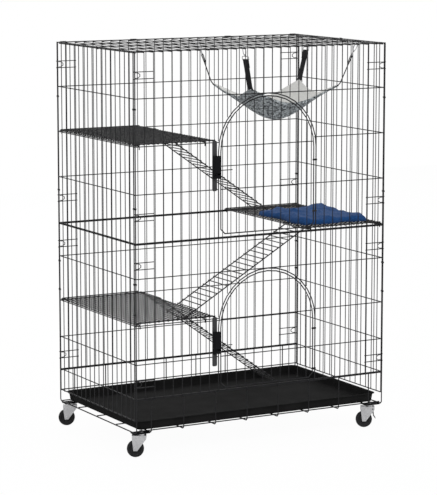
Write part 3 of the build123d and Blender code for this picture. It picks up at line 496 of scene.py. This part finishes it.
def swept(path, normal, profile, closed=False):
    """A closed profile carried along a flat path: each of its points stays so far to the
    side of the path and so far along the normal of the path's plane."""
    if closed:
        tangent = np.roll(path, -1, 0) - np.roll(path, 1, 0)
    else:
        tangent = np.gradient(path, axis=0)
    side = unit(np.cross(normal, tangent))
    rings = path[:, None] + profile[..., 0, None] * side[:, None] + profile[..., 1, None] * normal
    count, around = len(path), profile.shape[-2]
    faces = ring_faces(count, around)
    if closed:
        return rings.reshape(-1, 3), faces.tolist()
    last = (count - 1) * around
    caps = [list(range(around)), list(range(last, last + around))]
    return rings.reshape(-1, 3), faces[:last].tolist() + caps


def round_profile(radius, sides=12):
    angle = np.linspace(0, 2 * np.pi, sides, endpoint=False)
    circle = np.stack([np.cos(angle), np.sin(angle)], -1)
    return np.asarray(radius)[..., None, None] * circle


def joined(name, parts, material, body, replaced, smooth=True):
    """One piece from several closed shapes."""
    shape = bmesh.new()
    for points, faces in parts:
        part = bpy.data.meshes.new("part")
        part.from_pydata(points.tolist(), [], faces)
        shape.from_mesh(part)
        bpy.data.meshes.remove(part)
    piece = new_piece(name, np.empty((0, 3)), [], [material])
    shape.to_mesh(piece.data)
    shape.free()
    outward(piece).data.polygons.foreach_set("use_smooth", [smooth] * len(piece.data.polygons))
    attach(piece, body)
    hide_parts(replaced)


def loop_path(length, width, bend, steps=8):
    """A rounded rectangle's outline, in the two directions of its plane."""
    angle = np.linspace(0, np.pi / 2, steps)
    turn = np.stack([np.cos(angle), np.sin(angle)], -1) * bend
    middle = np.array([length / 2 - bend, width / 2 - bend])
    quarter = middle + turn
    flips = ((1, 1, 1), (-1, 1, -1), (-1, -1, 1), (1, -1, -1))
    return np.vstack([(quarter * (fx, fy))[::order] for fx, fy, order in flips])


def hook_parts(hang, down, across, out):
    """A gate bent round the roof wire, a neck turned as a knob, and an eye for the strap."""
    about_wire = unit(np.array([0, 1, 0]) - down * down[1])
    beside = np.cross(about_wire, down)
    loop = loop_path(gate_length, gate_width, gate_bend)
    gate = hang + down * (gate_middle + loop[:, :1]) + beside * loop[:, 1:]
    loop = loop_path(eye_length, eye_width, eye_bend)
    eye = hang + down * (eye_middle + loop[:, :1]) + across * loop[:, 1:]
    return [
        swept(gate, about_wire, round_profile(rod), True),
        swept(hang + neck_steps[:, None] * down, across, round_profile(neck_radii)),
        swept(eye, out, round_profile(rod), True),
    ]


def strap_part(hang, down, across, out, reach, ends):
    """A flat band from a short tail, half a turn over the eye's bar, down and into the seam."""
    turn = np.linspace(0, np.pi, 9)[:, None]
    over = hang + down * (eye_bar - strap_bend * np.sin(turn)) + out * strap_bend * np.cos(turn)
    tail = hang + down * (eye_bar + strap_tail) + out * tail_rise
    start = hang + down * (eye_bar + strap_start) - out * strap_drop
    low = hang + down * (reach - strap_end) - out * end_drop
    sewn = bed_point(ends[:, 0], ends[:, 1]) + np.array([0, 0, cloth_thick / 2])
    flat = np.array([[-1, -1], [1, -1], [1, 1], [-1, 1]]) * (strap_thick / 2, strap_half)
    return swept(np.vstack([tail, over, start, low, sewn]), across, flat)


webs, hooks = [], []
for column, hang_x in enumerate(hang_xs):
    for row, hang_y in enumerate(hang_ys):
        hang = np.array([hang_x, hang_y, hang_height])
        corner = np.array([(bed_left, bed_right)[column], (bed_front, bed_back)[row], bed_top])
        down = unit(corner - hang)
        across = unit(np.cross(down, (0, 0, 1)))
        out = np.cross(across, down)
        reach = np.linalg.norm(corner - hang)
        place = np.array([column, row])
        ends = place + seam_shares[:, None] * (1 - 2 * place)
        hooks += hook_parts(hang, down, across, out)
        webs.append(strap_part(hang, down, across, out, reach, ends))
joined("bed_webbing", webs, webbing, "cage", "bed_straps", smooth=False)
joined("bed_hooks", hooks, hook_steel, "cage", "snap_hooks")

# Blanket: a square of blue fleece dropped on the middle shelf, so that it lies in loose
# folds with rounded ridges and its hem turned under all round.
blue_fleece = fabric(
    "blue_fleece", (0.004, 0.024, 0.10), (0.014, 0.085, 0.26), 0.003, 0.6, 0.05, 0.35
)
blanket_low, blanket_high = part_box("blanket")
shelf_front_margin, shelf_end_margin = 0.020, 0.012
blanket_low.y += shelf_front_margin
blanket_high.x -= shelf_end_margin
blanket_rise = 0.032
blanket_columns, blanket_rows = 121, 141
span = np.linspace(-1, 1, blanket_columns), np.linspace(-1, 1, blanket_rows)
p, q = np.meshgrid(*span, indexing="ij")
warp = 0.35 * np.sin(3.1 * p + 1.7) + 0.3 * np.sin(4.3 * q - 0.6)


def ridge(across, along, turn, shift, sharp):
    """Parallel folds: one less the size of a sine, raised to a power, warped sideways."""
    line = across * math.cos(turn) + along * math.sin(turn)
    return (1 - np.abs(np.sin(line * sharp + shift + 1.6 * warp))) ** 1.6


crumple = (
    0.45 * ridge(p, q, 0.35, 0.3, 3.0)
    + 0.35 * ridge(p, q, 1.9, 1.1, 4.1)
    + 0.2 * ridge(p, q, 1.1, 2.0, 7.3)
    + 0.12 * ridge(p, q, 2.6, 0.7, 11.0)
)
edge = np.clip(1 - np.maximum(np.abs(p), np.abs(q)) ** 14, 0, 1) ** 0.45
wavy_p = p * (1 - 0.05 * (1 + np.sin(5 * q + 1)) * p**2)
wavy_q = q * (1 - 0.04 * (1 + np.sin(6 * p)) * q**2)
middle = (blanket_low + blanket_high) / 2
size = (blanket_high - blanket_low) / 2
top = np.stack([
    middle.x + size.x * wavy_p,
    middle.y + size.y * wavy_q,
    blanket_low.z + blanket_rise * edge * (0.55 + 0.45 * crumple / crumple.max()),
], -1)
under = top.copy()
under[..., 2] = blanket_low.z
sheet = grid_quads(blanket_columns, blanket_rows)
both = np.vstack([sheet, sheet[:, ::-1] + blanket_columns * blanket_rows])
points = np.vstack([top.reshape(-1, 3), under.reshape(-1, 3)])
blanket = outward(new_piece("blanket_cloth", points, both, [blue_fleece]))
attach(blanket, "cage")
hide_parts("blanket")
